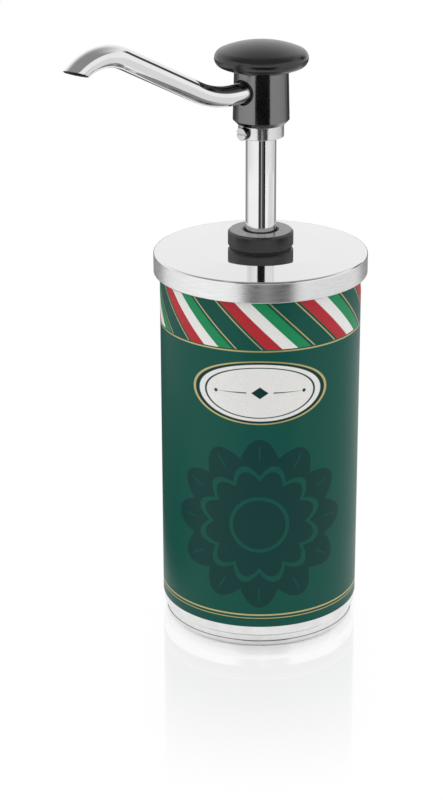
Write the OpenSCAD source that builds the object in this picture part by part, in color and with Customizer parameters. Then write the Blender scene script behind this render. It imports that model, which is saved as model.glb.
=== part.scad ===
// Counter-top cream dispenser: a tin can with a printed wrap, a slip-on lid and a hand pump.
// Millimetres, +Z up. The origin is on the can's axis, in the plane that the can stands on.
// The front of the wrap faces -Y. The pump is drawn with its plunger up.

/* [Can] */
// Outside diameter over the printed wrap
can_d = 99; // [92:0.5:110]
// Height from the table to the top of the curled rim
can_h = 189.5; // [175:0.5:215]
// Wall of the tin
can_wall = 0.6; // [0.4:0.1:1]
// Section diameter of the curled rim
curl_d = 2.8; // [2.4:0.1:3.4]
// How far the curled rim stands out from the tin
curl_out = 2.28; // [1.8:0.02:2.6]
// Thickness of the printed wrap
wrap_t = 0.25; // [0.15:0.05:0.4]
// Height of the wrap's lower edge
wrap_low_z = 11.3; // [8:0.1:20]
// Height at which the tin steps in towards its base
neck_z = 7; // [6:0.1:9]
// Height of that step
neck_h = 1.6; // [1:0.1:2.5]
// Depth of that step
neck_in = 1.7; // [0.8:0.1:2.5]
// Height of the rolled seam at the base
seam_h = 2.7; // [2.4:0.1:3.4]
// How far the rolled seam stands out from the narrowed tin
seam_out = 0.3; // [0.1:0.05:0.4]
// Radial width of the rolled seam
seam_w = 2.6; // [2.4:0.1:4]
// Radius of the seam's rounded lower edge
seam_round = 0.9; // [0.4:0.1:1.8]
// Thickness of the base panel
base_t = 0.6; // [0.4:0.1:1]
// Height of the base panel's underside above the table
panel_z = 1.6; // [1.1:0.1:1.9]
// Diameter of the stiffening step in the base panel
panel_step_d = 68; // [50:1:80]
// Depth of the stiffening step in the base panel
panel_step = 0.5; // [0.2:0.1:1]

/* [Lid] */
// Sheet thickness of the lid
lid_t = 0.8; // [0.5:0.1:1]
// Height of the lid's skirt
skirt_h = 10.3; // [7:0.1:14]
// Radius of the lid's rounded edge
lid_edge_r = 1.2; // [1.1:0.1:2]
// Rise of the lid's level middle above its rim
boss_rise = 1.9; // [1:0.1:3]
// Diameter of the level middle, out to the corner where the lid turns down
boss_top_d = 64; // [40:1:80]
// Radius of the bend at that corner
boss_bend_r = 20; // [5:1:40]
// Width of the level rim between the foot of the slope and the lid's rounded edge
rim_w = 0.3; // [0.2:0.1:2.5]
// Clearance between the lid's skirt and the curled rim
lid_fit = 0.2; // [0.1:0.05:0.4]

/* [Seals] */
// Thickness of the ring seal inside the lid
lid_gasket_t = 2; // [1:0.1:3]
// Radial width of the ring seal inside the lid
lid_gasket_w = 4; // [3:0.1:6]
// Thickness of the washer under the cap nut
nut_gasket_t = 0.8; // [0.5:0.1:1.5]
// Thickness of the washer between the barrel's flange and the lid
flange_gasket_t = 1; // [0.5:0.1:1.5]
// Thickness of the wiper on top of the guide bush
wiper_t = 1; // [0.6:0.1:1.2]
// Section diameter of the ring round the spout
spout_ring_d = 1.1; // [0.8:0.1:1.3]
// Height of the piston's seal
piston_seal_h = 4; // [2:0.1:6]
// Depth of the piston's seal groove
piston_seal_w = 1.8; // [1:0.1:2.4]

/* [Barrel] */
// Bore of the pump barrel
bore_d = 20.8; // [20.4:0.1:24]
// Wall of the pump barrel
barrel_wall = 2; // [1.4:0.1:2.2]
// How far the barrel's flange stands out from its wall
flange_out = 3.1; // [2:0.1:5]
// Thickness of the barrel's flange
flange_t = 3; // [2:0.1:5]
// Length of the foot valve's plug inside the barrel
plug_len = 12; // [10:0.5:16]
// Thickness of the foot valve's flange below the barrel
valve_flange_t = 4; // [2:0.1:6]
// Length of the nipple that holds the suction tube
nipple_len = 12; // [8:0.5:18]
// Outside diameter of the nipple
nipple_d = 9.8; // [9:0.1:11]
// Wall of the suction tube
tube_wall = 1.45; // [0.8:0.05:2]
// Gap between the suction tube and the can's base panel
tube_gap = 5.5; // [3:0.5:12]
// Diameter of the inlet ball
inlet_ball_d = 9; // [8:0.1:10]
// Bore under the inlet ball
inlet_seat_d = 6.8; // [5.6:0.1:7.4]
// Depth of the chamber round the inlet ball
chamber_depth = 8; // [7:0.1:9]
// Gap round the inlet ball in its chamber
chamber_gap = 1.7; // [1:0.1:2.2]
// Height of the cage over the inlet ball
cage_h = 4.5; // [4:0.1:6]
// Thickness of the cage's top plate
cage_plate_t = 2; // [1:0.1:3]

/* [Cap nut] */
// Outside diameter over the knurl
nut_d = 32; // [30:0.5:36]
// Height of the cap nut
nut_h = 7.8; // [7:0.1:12]
// Thickness of the nut's top plate
nut_plate_t = 1.8; // [1.2:0.1:2.4]
// Number of ridges in the knurl
knurl_count = 100; // [60:1:120]
// Depth of the knurl
knurl_depth = 0.35; // [0.2:0.05:0.5]
// Height of the plain edge below the knurl
nut_low_edge = 0.6; // [0.3:0.1:1]
// Height of the rounded edge above the knurl
nut_top_edge = 0.9; // [0.5:0.1:1.2]

/* [Plunger] */
// Travel of the plunger
stroke = 45.5; // [35:0.5:52]
// Gap left between the dose ring and the cap nut at the end of the stroke
stop_gap = 1; // [0.5:0.1:3]
// Outside diameter of the plunger tube
post_d = 14.8; // [13.6:0.1:15.6]
// Wall of the plunger tube
post_wall = 2.2; // [1.8:0.1:2.4]
// Length of the guide bush inside the barrel
bush_len = 15.5; // [10:0.5:20]
// Thickness of the guide bush's flange
bush_flange_t = 1.2; // [0.8:0.1:1.6]
// Height of the piston
piston_h = 14; // [10:0.5:20]
// Diameter of the plunger tube's threaded end inside the piston
spigot_d = 11.2; // [10:0.1:12]
// Thickness of the nut that holds the piston
piston_nut_t = 5; // [3:0.1:6]
// Width across flats of the nut that holds the piston
piston_nut_af = 13.8; // [13.2:0.1:14.2]
// How far the plunger tube's threaded end shows below its nut
spigot_over = 1.5; // [0.5:0.1:3]
// Diameter of the outlet ball
outlet_ball_d = 8.4; // [7.6:0.1:9]
// Bore under the outlet ball
outlet_seat_d = 6.8; // [5.6:0.1:7]
// Height of the outlet ball's seat above the piston
outlet_seat_up = 3; // [2:0.1:8]
// Lift of the outlet ball
outlet_lift = 2.5; // [1:0.1:4]
// Height of the stop over the outlet ball
outlet_stop_h = 3; // [2:0.1:5]
// Bore of the stop over the outlet ball
outlet_stop_d = 6; // [4:0.1:6.6]
// Wire diameter of the return spring
wire_d = 1.2; // [0.8:0.1:1.3]
// Number of turns of the return spring
spring_turns = 10; // [6:1:14]

/* [Dose ring] */
// Outside diameter of the dose ring
ring_d = 22.1; // [20:0.1:26]
// Height of the dose ring
ring_h = 6.3; // [6:0.1:10]
// Thread diameter of the clamp screw
screw_d = 3; // [2.5:0.1:4]
// Head diameter of the clamp screw
screw_head_d = 6.1; // [4.6:0.1:6.2]
// Head height of the clamp screw
screw_head_h = 2.9; // [1.6:0.1:3.4]
// Width of the clamp screw's slot
screw_slot_w = 0.9; // [0.5:0.1:1.4]
// Depth of the clamp screw's slot
screw_slot_h = 1.1; // [0.6:0.1:1.4]

/* [Head and knob] */
// Diameter of the pump head above its chamfer
head_low_d = 27.3; // [26:0.1:30]
// Diameter of the pump head under the knob
head_top_d = 26.1; // [25:0.1:27]
// Height of the pump head
head_h = 25.35; // [24.5:0.05:32]
// Chamfer round the bottom of the pump head
head_chamfer = 2; // [0.5:0.1:3]
// Depth of the plunger tube's socket in the pump head
socket_h = 12; // [8:0.5:12]
// Largest diameter of the knob
knob_d = 45; // [42:0.5:50]
// Radius of the knob's rounded edge
knob_edge_r = 4.2; // [3:0.1:5]
// Height of the knob's crown above its widest circle
knob_crown = 7.95; // [7:0.05:12]
// Depth of the knob's rounded underside below its widest circle
knob_under = 7.7; // [7.3:0.05:9]
// Height of the knob's widest circle above the pump head
knob_seat_h = 6.1; // [5:0.1:6.8]
// Diameter of the stud that joins the knob to the pump head
stud_d = 6; // [4:0.1:8]
// Length of the stud inside the pump head
stud_low = 4; // [2.5:0.1:4.4]
// Length of the stud inside the knob
stud_up = 7; // [4:0.1:9]

/* [Spout] */
// Direction of the spout at rest, in degrees from the front towards -X
spout_az = 43.5; // [0:0.5:90]
// Outside diameter of the spout tube
spout_d = 10; // [8:0.1:10.4]
// Wall of the spout tube
spout_wall = 1; // [0.6:0.1:1.4]
// Height of the spout's axis above the bottom of the pump head
spout_up = 16.65; // [16:0.05:17]
// Distance from the pump's axis to the tube's inner end
spout_in = 5.5; // [5:0.1:7]
// Distance from the pump's axis to the start of the first bend
spout_reach = 19.6; // [16:0.1:40]
// Radius of the first bend
bend_low_r = 53; // [20:1:70]
// Rise of the spout's long arm, in degrees
spout_rise = 26.2; // [10:0.2:40]
// Length of the spout's straight arm
arm_len = 51.2; // [20:0.2:80]
// Radius of the bend at the spout's end
bend_end_r = 28; // [15:0.5:40]
// Fall of the spout's end, in degrees
spout_fall = 35.2; // [20:0.2:60]
// Slope of the cut across the spout's end, as the fall of its normal in degrees
mouth_fall = 68; // [50:1:80]
// Turn of that cut about the tube's axis, in degrees
mouth_roll = 13; // [-30:1:30]
// Width of the recess round the spout in the pump head
recess_w = 1.15; // [1.15:0.05:1.5]
// Depth of the recess round the spout in the pump head
recess_h = 2.4; // [1.6:0.1:3.5]

/* [Hidden] */
$fn = 96;

// Clearances
glue_gap = 0.03;    // wrap round the tin
press_gap = 0.02;   // pieces pressed or screwed together
run_gap = 0.05;     // radial gap of a running fit, and end gap of faces that slide or turn
top_gap = 0.5;      // piston under the guide bush
hole_gap = 0.2;     // neck in the lid's hole
post_gap = 0.5;     // plunger tube in the cap nut's plate
ring_gap = 0.15;    // dose ring under the pump head
stop_spare = 0.5;   // outlet ball under its stop at the top of its lift
spring_spare = 1.5; // spring left to press at the end of the stroke
bend_swell = 0.02;  // bends of the spout over its straight runs, in radius
bend_lap = 0.5;     // straight runs of the spout inside its bends
eps = 0.01;         // overshoot of a cut

// Radii
can_r = can_d / 2;
tin_r = can_r - wrap_t - glue_gap;
neck_r = tin_r - neck_in;
seam_r = neck_r + seam_out;
curl_r = curl_d / 2;
lid_in_r = tin_r + curl_out + lid_fit;
lid_r = lid_in_r + lid_t;
bore_r = bore_d / 2;
barrel_r = bore_r + barrel_wall;
hole_r = barrel_r + hole_gap;
flange_r = barrel_r + flange_out;
nut_r = nut_d / 2;
post_r = post_d / 2;
post_in_r = post_r - post_wall;
slide_r = post_r + run_gap;
spigot_r = spigot_d / 2;
ring_r = ring_d / 2;
spout_r = spout_d / 2;
spout_bore_r = spout_r - spout_wall;
recess_r = spout_r + recess_w;
nipple_r = nipple_d / 2;
tube_in_r = nipple_r + press_gap;
tube_r = tube_in_r + tube_wall;
chamber_r = inlet_ball_d / 2 + chamber_gap;
spring_r = (bore_r + piston_nut_af / sqrt(3)) / 2;

// Heights from the table up through the lid to the cap nut
gasket_z = can_h + run_gap;
lid_top_z = gasket_z + lid_gasket_t + lid_t;
boss_top_z = lid_top_z + boss_rise;
boss_foot_x = lid_r - lid_edge_r - rim_w;
boss_fall = atan(boss_rise / (boss_foot_x - boss_top_d / 2));
nut_z = boss_top_z + nut_gasket_t + run_gap;
nut_top_z = nut_z + nut_h;
plate_z = nut_top_z - nut_plate_t;
wiper_z = plate_z - run_gap - wiper_t;
neck_top_z = wiper_z - bush_flange_t - run_gap;
flange_top_z = boss_top_z - lid_t - flange_gasket_t;

// Heights from the guide bush down to the suction tube
bush_z = neck_top_z - bush_len;
piston_top_z = bush_z - top_gap;
piston_z = piston_top_z - piston_h;
spigot_z = piston_z - run_gap - piston_nut_t - spigot_over;
spring_solid = (spring_turns + 1) * wire_d;
cage_top_z = piston_z - stroke - spring_solid - spring_spare;
plug_top_z = cage_top_z - cage_h;
inlet_seat_z = plug_top_z - chamber_depth;
barrel_z = plug_top_z - plug_len;
valve_z = barrel_z - valve_flange_t;
nipple_z = valve_z - nipple_len;
tube_z = panel_z + base_t + tube_gap;

// Heights from the plunger tube's valve up to the knob
outlet_seat_z = piston_top_z + outlet_seat_up;
ring_z = nut_top_z + stop_gap + stroke;
head_z = ring_z + ring_h + ring_gap;
head_top_z = head_z + head_h;
post_top_z = head_z + socket_h;
spout_z = head_z + spout_up;
knob_z = head_top_z + knob_seat_h;
screw_z = ring_z + ring_h / 2;

// Height of a ball's middle when it rests on the edge of a bore
function ball_up(ball_d, seat_d) = sqrt(pow(ball_d / 2, 2) - pow(seat_d / 2, 2)) + press_gap;
inlet_ball_z = inlet_seat_z + ball_up(inlet_ball_d, inlet_seat_d);
outlet_ball_z = outlet_seat_z + ball_up(outlet_ball_d, outlet_seat_d);
outlet_stop_z = outlet_ball_z + outlet_ball_d / 2 + outlet_lift + stop_spare;

// Points along an arc, from one angle to another
function arc(x, z, r, from, to, steps = 8) =
    [for (i = [0:steps]) let (a = from + (to - from) * i / steps) [x + r * cos(a), z + r * sin(a)]];

function reversed(points) = [for (i = [len(points) - 1:-1:0]) points[i]];

// Solid of revolution about the can's axis, from an outline of radius and height
module turned(outline) {
    rotate_extrude() polygon(outline);
}

// Plain ring between two radii and two heights
module ring(inner_r, outer_r, low_z, high_z) {
    rotate_extrude() translate([inner_r, low_z]) square([outer_r - inner_r, high_z - low_z]);
}

// Turns +X to the direction in which the spout points
module spout_way() {
    rotate([0, 0, 270 - spout_az]) children();
}

// Outline of the tin's lower end, moved in by a depth, from the seam up past the step
function neck_curve(depth, steps = 8) = concat(
    [[neck_r - depth, seam_h]],
    [for (i = [0:steps])
        [neck_r - depth + neck_in * (1 - cos(180 * i / steps)) / 2, neck_z - neck_h + neck_h * i / steps]]
);

// Tin shell with its curled rim
module can_body() {
    curl_x = tin_r + curl_out - curl_r;
    wall_top_z = can_h - curl_r;
    color("silver") {
        rotate_extrude() {
            polygon(concat(
                neck_curve(0),
                [[tin_r, wall_top_z], [tin_r - can_wall, wall_top_z]],
                reversed(neck_curve(can_wall))
            ));
            translate([curl_x, can_h - curl_r]) circle(curl_r);
        }
    }
}

// Base panel with the rolled seam that the can stands on
module can_base() {
    inner_r = seam_r - seam_w;
    toe = 0.4;
    bevel = 0.45;
    step_r = panel_step_d / 2;
    color("lightgray") turned(concat(
        [[0, panel_z - panel_step], [step_r, panel_z - panel_step], [step_r + panel_step, panel_z]],
        [[inner_r, panel_z], [inner_r, toe], [inner_r + toe, 0]],
        arc(seam_r - seam_round, seam_round, seam_round, -90, 0),
        [[seam_r, seam_h - bevel], [seam_r - bevel, seam_h], [inner_r, seam_h]],
        [[inner_r, panel_z + base_t], [step_r + panel_step, panel_z + base_t]],
        [[step_r, panel_z + base_t - panel_step], [0, panel_z + base_t - panel_step]]
    ));
}

// Printed sleeve round the tin, with its upper edge hidden under the lid
module printed_wrap() {
    edge_gap = 1.5;
    color("darkgreen") ring(tin_r + glue_gap, can_r, wrap_low_z, can_h - curl_d - edge_gap);
}

// Outline of the lid's top, lowered by a depth, from the bend round its level middle out to its rim
function boss_curve(depth) =
    let (bend_x = boss_top_d / 2 - boss_bend_r * tan(boss_fall / 2))
    concat(
        arc(bend_x, boss_top_z - depth - boss_bend_r, boss_bend_r, 90, 90 - boss_fall),
        [[boss_foot_x, lid_top_z - depth]]
    );

// Pressed lid with a raised level middle and the hole for the barrel's neck
module lid() {
    edge_x = lid_r - lid_edge_r;
    edge_z = lid_top_z - lid_edge_r;
    skirt_z = lid_top_z - skirt_h;
    color("gainsboro") turned(concat(
        [[hole_r, boss_top_z]],
        boss_curve(0),
        arc(edge_x, edge_z, lid_edge_r, 90, 0),
        [[lid_r, skirt_z], [lid_in_r, skirt_z]],
        arc(edge_x, edge_z, lid_edge_r - lid_t, 0, 90, 4),
        reversed(boss_curve(lid_t)),
        [[hole_r, boss_top_z - lid_t]]
    ));
}

// Ring seal that the lid presses on the curled rim, with a top that follows the lid's slope
module lid_gasket() {
    outer_r = lid_r - lid_edge_r;
    inner_r = outer_r - lid_gasket_w;
    top_z = gasket_z + lid_gasket_t;
    color("dimgray") turned([
        [inner_r, gasket_z],
        [outer_r, gasket_z],
        [outer_r, top_z],
        [boss_foot_x, top_z],
        [inner_r, top_z + (boss_foot_x - inner_r) * tan(boss_fall)]
    ]);
}

// Washer under the cap nut
module nut_gasket() {
    inset = 0.8;
    color("black") ring(hole_r, nut_r - inset, boss_top_z, boss_top_z + nut_gasket_t);
}

// Washer between the barrel's flange and the lid
module flange_gasket() {
    color("black") ring(hole_r, flange_r, flange_top_z, flange_top_z + flange_gasket_t);
}

// Pump barrel: neck through the lid, flange under it and the cylinder below
module barrel() {
    color("whitesmoke") {
        difference() {
            union() {
                translate([0, 0, barrel_z]) cylinder(h = neck_top_z - barrel_z, r = barrel_r);
                translate([0, 0, flange_top_z - flange_t]) cylinder(h = flange_t, r = flange_r);
            }
            translate([0, 0, barrel_z - eps]) cylinder(h = neck_top_z - barrel_z + 2 * eps, r = bore_r);
        }
    }
}

// Foot valve: plug in the barrel's end, seat for the inlet ball and nipple for the tube
module foot_valve() {
    color("whitesmoke") {
        difference() {
            union() {
                translate([0, 0, barrel_z]) cylinder(h = plug_len, r = bore_r - press_gap);
                translate([0, 0, valve_z]) cylinder(h = valve_flange_t, r = barrel_r);
                translate([0, 0, nipple_z]) cylinder(h = nipple_len, r = nipple_r);
            }
            translate([0, 0, inlet_seat_z]) cylinder(h = chamber_depth + eps, r = chamber_r);
            translate([0, 0, nipple_z - eps])
                cylinder(h = inlet_seat_z - nipple_z + 2 * eps, d = inlet_seat_d);
        }
    }
}

// Ball that closes the way back to the can
module inlet_ball() {
    color("gray") translate([0, 0, inlet_ball_z]) sphere(d = inlet_ball_d);
}

// Cage over the inlet ball, with four ports round its middle, which also seats the spring
module ball_cage() {
    port_d = 3;
    port_rim = 0.6;
    port_r = chamber_r - port_rim - port_d / 2;
    color("ivory") {
        difference() {
            translate([0, 0, plug_top_z]) cylinder(h = cage_h, r = bore_r - press_gap);
            translate([0, 0, plug_top_z - eps]) cylinder(h = cage_h - cage_plate_t + eps, r = chamber_r);
            for (i = [0:3]) {
                rotate([0, 0, 90 * i]) translate([port_r, 0, plug_top_z])
                    cylinder(h = cage_h + eps, d = port_d);
            }
        }
    }
}

// Tube from the foot valve down to the bottom of the can, cut on a slant
module suction_tube() {
    slant = 30;
    color("aliceblue") {
        difference() {
            ring(tube_in_r, tube_r, tube_z, valve_z);
            translate([-tube_r, 0, tube_z]) rotate([0, -slant, 0])
                translate([-tube_r, -2 * tube_r, -4 * tube_r]) cube([8 * tube_r, 4 * tube_r, 4 * tube_r]);
        }
    }
}

// Return spring between the cage and the piston: one tube wound along a helix
spring_sides = 6;
turn_rings = 8;
spring_rings = turn_rings * spring_turns;
spring_low_z = cage_top_z + wire_d / 2 + run_gap;
spring_high_z = piston_z - wire_d / 2 - run_gap;

function spring_point(i, k) =
    let (turn = 360 * spring_turns * i / spring_rings,
         side = 360 * k / spring_sides,
         r = spring_r + wire_d / 2 * cos(side),
         z = spring_low_z + (spring_high_z - spring_low_z) * i / spring_rings + wire_d / 2 * sin(side))
    [r * cos(turn), r * sin(turn), z];

spring_points = [for (i = [0:spring_rings], k = [0:spring_sides - 1]) spring_point(i, k)];
spring_faces = concat(
    [[for (k = [0:spring_sides - 1]) k]],
    [for (i = [0:spring_rings - 1], k = [0:spring_sides - 1], half = [0, 1])
        let (a = i * spring_sides + k,
             b = i * spring_sides + (k + 1) % spring_sides,
             c = a + spring_sides,
             d = b + spring_sides)
        half == 0 ? [a, c, d] : [a, d, b]],
    [[for (k = [spring_sides - 1:-1:0]) spring_rings * spring_sides + k]]
);

// Least gap between a point of the spring and the points one turn on
spring_gap = min([for (i = [0:spring_rings - turn_rings], k = [0:spring_sides - 1], m = [0:spring_sides - 1])
    norm(spring_points[i * spring_sides + k] - spring_points[(i + turn_rings) * spring_sides + m])]);
echo(least_gap_of_the_return_spring = spring_gap);

module return_spring() {
    color("lightsteelblue") polyhedron(spring_points, spring_faces);
}

// Piston with a groove for its seal
module piston() {
    groove_z = piston_z + (piston_h - piston_seal_h) / 2;
    color("ivory") {
        difference() {
            ring(spigot_r + run_gap, bore_r - run_gap, piston_z, piston_top_z);
            ring(bore_r - run_gap - piston_seal_w, bore_r, groove_z, groove_z + piston_seal_h);
        }
    }
}

// Seal in the piston's groove
module piston_seal() {
    groove_z = piston_z + (piston_h - piston_seal_h) / 2;
    color("black") ring(bore_r - run_gap - piston_seal_w + press_gap, bore_r - press_gap,
                        groove_z + press_gap, groove_z + piston_seal_h - press_gap);
}

// Hexagon nut under the piston
module piston_nut() {
    color("goldenrod") {
        difference() {
            translate([0, 0, piston_z - run_gap - piston_nut_t])
                cylinder(h = piston_nut_t, r = piston_nut_af / sqrt(3), $fn = 6);
            translate([0, 0, spigot_z]) cylinder(h = piston_z - spigot_z, r = spigot_r + press_gap);
        }
    }
}

// Plunger tube: polished shank, seat for the outlet ball and threaded end for the piston
module plunger_tube() {
    shank_z = piston_top_z + run_gap;
    color("silver") {
        difference() {
            union() {
                translate([0, 0, shank_z]) cylinder(h = post_top_z - shank_z, r = post_r);
                translate([0, 0, spigot_z]) cylinder(h = shank_z - spigot_z + eps, r = spigot_r);
            }
            translate([0, 0, outlet_seat_z]) cylinder(h = post_top_z - outlet_seat_z + eps, r = post_in_r);
            translate([0, 0, spigot_z - eps])
                cylinder(h = outlet_seat_z - spigot_z + 2 * eps, d = outlet_seat_d);
        }
    }
}

// Ball that keeps the cream in the plunger tube
module outlet_ball() {
    color("gray") translate([0, 0, outlet_ball_z]) sphere(d = outlet_ball_d);
}

// Stop over the outlet ball, with slots that leave a way past it
module outlet_stop() {
    slot_w = 1.6;
    slot_h = outlet_stop_h / 2;
    color("ivory") {
        difference() {
            ring(outlet_stop_d / 2, post_in_r - press_gap, outlet_stop_z, outlet_stop_z + outlet_stop_h);
            for (i = [0:2]) {
                rotate([0, 0, 120 * i]) translate([0, -slot_w / 2, outlet_stop_z - eps])
                    cube([post_in_r, slot_w, slot_h + eps]);
            }
        }
    }
}

// Bush in the barrel's neck that guides the plunger tube
module guide_bush() {
    color("ivory") {
        ring(slide_r, bore_r - run_gap, bush_z, wiper_z - bush_flange_t);
        ring(slide_r, barrel_r - run_gap, wiper_z - bush_flange_t, wiper_z);
    }
}

// Wiper between the guide bush and the cap nut's plate
module wiper_seal() {
    color("black") ring(slide_r, barrel_r - run_gap, wiper_z, wiper_z + wiper_t);
}

// Cap nut: straight knurl between a plain lower edge and a rounded upper edge
module cap_nut() {
    root_r = nut_r - knurl_depth;
    edge_inset = 0.15;
    edge_r = root_r - edge_inset;
    knurl_z = nut_z + nut_low_edge;
    knurl_top_z = nut_top_z - nut_top_edge;
    ridge = [for (i = [0:2 * knurl_count - 1])
        let (a = 180 * i / knurl_count, r = i % 2 == 0 ? nut_r : root_r) [r * cos(a), r * sin(a)]];
    thread_r = barrel_r + run_gap;
    color([0.08, 0.08, 0.09]) {
        difference() {
            union() {
                translate([0, 0, nut_z]) cylinder(h = knurl_z - nut_z, r = edge_r);
                translate([0, 0, knurl_z]) linear_extrude(knurl_top_z - knurl_z) polygon(ridge);
                turned(concat(
                    [[0, knurl_top_z]],
                    arc(edge_r - nut_top_edge, knurl_top_z, nut_top_edge, 0, 90, 6),
                    [[0, nut_top_z]]
                ));
            }
            translate([0, 0, nut_z - eps]) cylinder(h = plate_z - nut_z + eps, r = thread_r);
            translate([0, 0, plate_z - eps]) cylinder(h = nut_plate_t + 2 * eps, r = post_r + post_gap);
        }
    }
}

// Ring clamped on the plunger tube to set the dose
module dose_ring() {
    bevel = 0.4;
    top_z = ring_z + ring_h;
    color("silver") {
        difference() {
            turned([
                [slide_r, ring_z], [ring_r - bevel, ring_z], [ring_r, ring_z + bevel],
                [ring_r, top_z - bevel], [ring_r - bevel, top_z], [slide_r, top_z]
            ]);
            spout_way() translate([post_r, 0, screw_z]) rotate([0, 90, 0])
                cylinder(h = ring_r, r = screw_d / 2 + run_gap);
        }
    }
}

// Slotted screw that clamps the dose ring
module clamp_screw() {
    tip_x = slide_r + run_gap;
    head_x = ring_r + 2 * run_gap;
    color("lightgray") {
        spout_way() {
            difference() {
                translate([0, 0, screw_z]) rotate([0, 90, 0]) {
                    translate([0, 0, tip_x]) cylinder(h = head_x - tip_x + eps, d = screw_d);
                    translate([0, 0, head_x]) cylinder(h = screw_head_h, d = screw_head_d);
                }
                translate([head_x + screw_head_h - screw_slot_h, -screw_head_d, screw_z - screw_slot_w / 2])
                    cube([screw_slot_h + eps, 2 * screw_head_d, screw_slot_w]);
            }
        }
    }
}

// Pump head: socket for the plunger tube, cross way to the spout and hole for the knob's stud
module pump_head() {
    low_r = head_low_d / 2;
    top_r = head_top_d / 2;
    recess_x = top_r - recess_h;
    color([0.08, 0.08, 0.09]) {
        difference() {
            turned([
                [0, head_z], [low_r - head_chamfer, head_z], [low_r, head_z + head_chamfer],
                [top_r, head_top_z], [0, head_top_z]
            ]);
            translate([0, 0, head_z - eps]) cylinder(h = socket_h + eps, r = post_r + press_gap);
            translate([0, 0, post_top_z - eps]) cylinder(h = spout_z - post_top_z + eps, r = spout_bore_r);
            translate([0, 0, head_top_z - stud_low]) cylinder(h = stud_low + eps, d = stud_d + 2 * press_gap);
            spout_way() translate([0, 0, spout_z]) rotate([0, 90, 0]) {
                cylinder(h = head_low_d, r = spout_bore_r);
                translate([0, 0, spout_in]) cylinder(h = head_low_d, r = spout_r + press_gap);
                translate([0, 0, recess_x]) cylinder(h = head_low_d, r = recess_r);
            }
        }
    }
}

// Round bar along +X, from one distance to another
module bar(from_x, to_x, r) {
    translate([from_x, 0, 0]) rotate([0, 90, 0]) cylinder(h = to_x - from_x, r = r);
}

// Bend that leaves the origin along +X and curls towards +Z, a little fuller than the straight tube
module bend(bend_r, angle, r) {
    translate([0, 0, bend_r]) rotate([90, 0, 0]) rotate([0, 0, -90])
        rotate_extrude(angle = angle) translate([bend_r, 0]) circle(r + bend_swell);
}

// Puts its children at the end of such a bend, with +X along the way on
module after_bend(bend_r, angle) {
    translate([0, 0, bend_r]) rotate([0, -angle, 0]) translate([0, 0, -bend_r]) children();
}

// Puts its children at the start of the spout's end bend, which curls down
module at_end_bend() {
    translate([spout_reach, 0, spout_z]) after_bend(bend_low_r, spout_rise)
        translate([arm_len, 0, 0]) rotate([180, 0, 0]) children();
}

// Round bar along the spout's whole middle line, longer at both ends by the given length
module spout_bar(r, over) {
    turn = spout_rise + spout_fall;
    end_spare = 1;
    end_len = spout_r * tan(mouth_fall - spout_fall) + end_spare;
    translate([0, 0, spout_z]) bar(spout_in - over, spout_reach + bend_lap, r);
    translate([spout_reach, 0, spout_z]) {
        bend(bend_low_r, spout_rise, r);
        after_bend(bend_low_r, spout_rise) bar(-bend_lap, arm_len + bend_lap, r);
    }
    at_end_bend() {
        bend(bend_end_r, turn, r);
        after_bend(bend_end_r, turn) bar(-bend_lap, end_len + over, r);
    }
}

// Bent spout tube with its mouth cut on a slant
module spout() {
    block = 6 * spout_d;
    bore_over = 1;
    color("silver") {
        spout_way() {
            difference() {
                spout_bar(spout_r, 0);
                spout_bar(spout_bore_r, bore_over);
                at_end_bend() after_bend(bend_end_r, spout_rise + spout_fall)
                    rotate([mouth_roll, 0, 0]) rotate([0, spout_fall - mouth_fall, 0])
                        translate([0, -block / 2, -block / 2]) cube(block);
            }
        }
    }
}

// Ring round the spout in the pump head's recess
module spout_ring() {
    recess_x = head_top_d / 2 - recess_h;
    color("black") spout_way()
        translate([recess_x + spout_ring_d / 2 + press_gap, 0, spout_z]) rotate([0, 90, 0])
            rotate_extrude() translate([spout_r + spout_ring_d / 2 + press_gap, 0]) circle(d = spout_ring_d);
}

// Palm knob: crown and underside are spherical and run into the rounded edge
module knob() {
    edge_x = knob_d / 2 - knob_edge_r;
    function cap_r(rise) =
        (edge_x * edge_x + rise * rise - knob_edge_r * knob_edge_r) / (2 * (rise - knob_edge_r));
    crown_r = cap_r(knob_crown);
    under_r = cap_r(knob_under);
    crown_a = atan2(crown_r - knob_crown, edge_x);
    under_a = atan2(knob_under - under_r, edge_x);
    seat_drop = under_r - knob_under + knob_seat_h;
    seat_a = -asin(seat_drop / under_r);
    color([0.08, 0.08, 0.09]) {
        difference() {
            turned(concat(
                [[0, head_top_z]],
                arc(0, knob_z - knob_under + under_r, under_r, seat_a, under_a, 4),
                arc(edge_x, knob_z, knob_edge_r, under_a, crown_a, 12),
                arc(0, knob_z + knob_crown - crown_r, crown_r, crown_a, 90, 10)
            ));
            translate([0, 0, head_top_z - eps]) cylinder(h = stud_up + eps, d = stud_d + 2 * press_gap);
        }
    }
}

// Stud that joins the knob to the pump head
module knob_stud() {
    color("lightgray") translate([0, 0, head_top_z - stud_low + press_gap])
        cylinder(h = stud_low + stud_up - 2 * press_gap, d = stud_d);
}

can_body();
can_base();
printed_wrap();
lid();
lid_gasket();
nut_gasket();
flange_gasket();
barrel();
foot_valve();
inlet_ball();
ball_cage();
suction_tube();
return_spring();
piston();
piston_seal();
piston_nut();
outlet_ball();
outlet_stop();
plunger_tube();
guide_bush();
wiper_seal();
cap_nut();
dose_ring();
clamp_screw();
pump_head();
spout();
spout_ring();
knob();
knob_stud();
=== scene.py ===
import bpy
import math
from mathutils import Matrix, Vector


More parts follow.
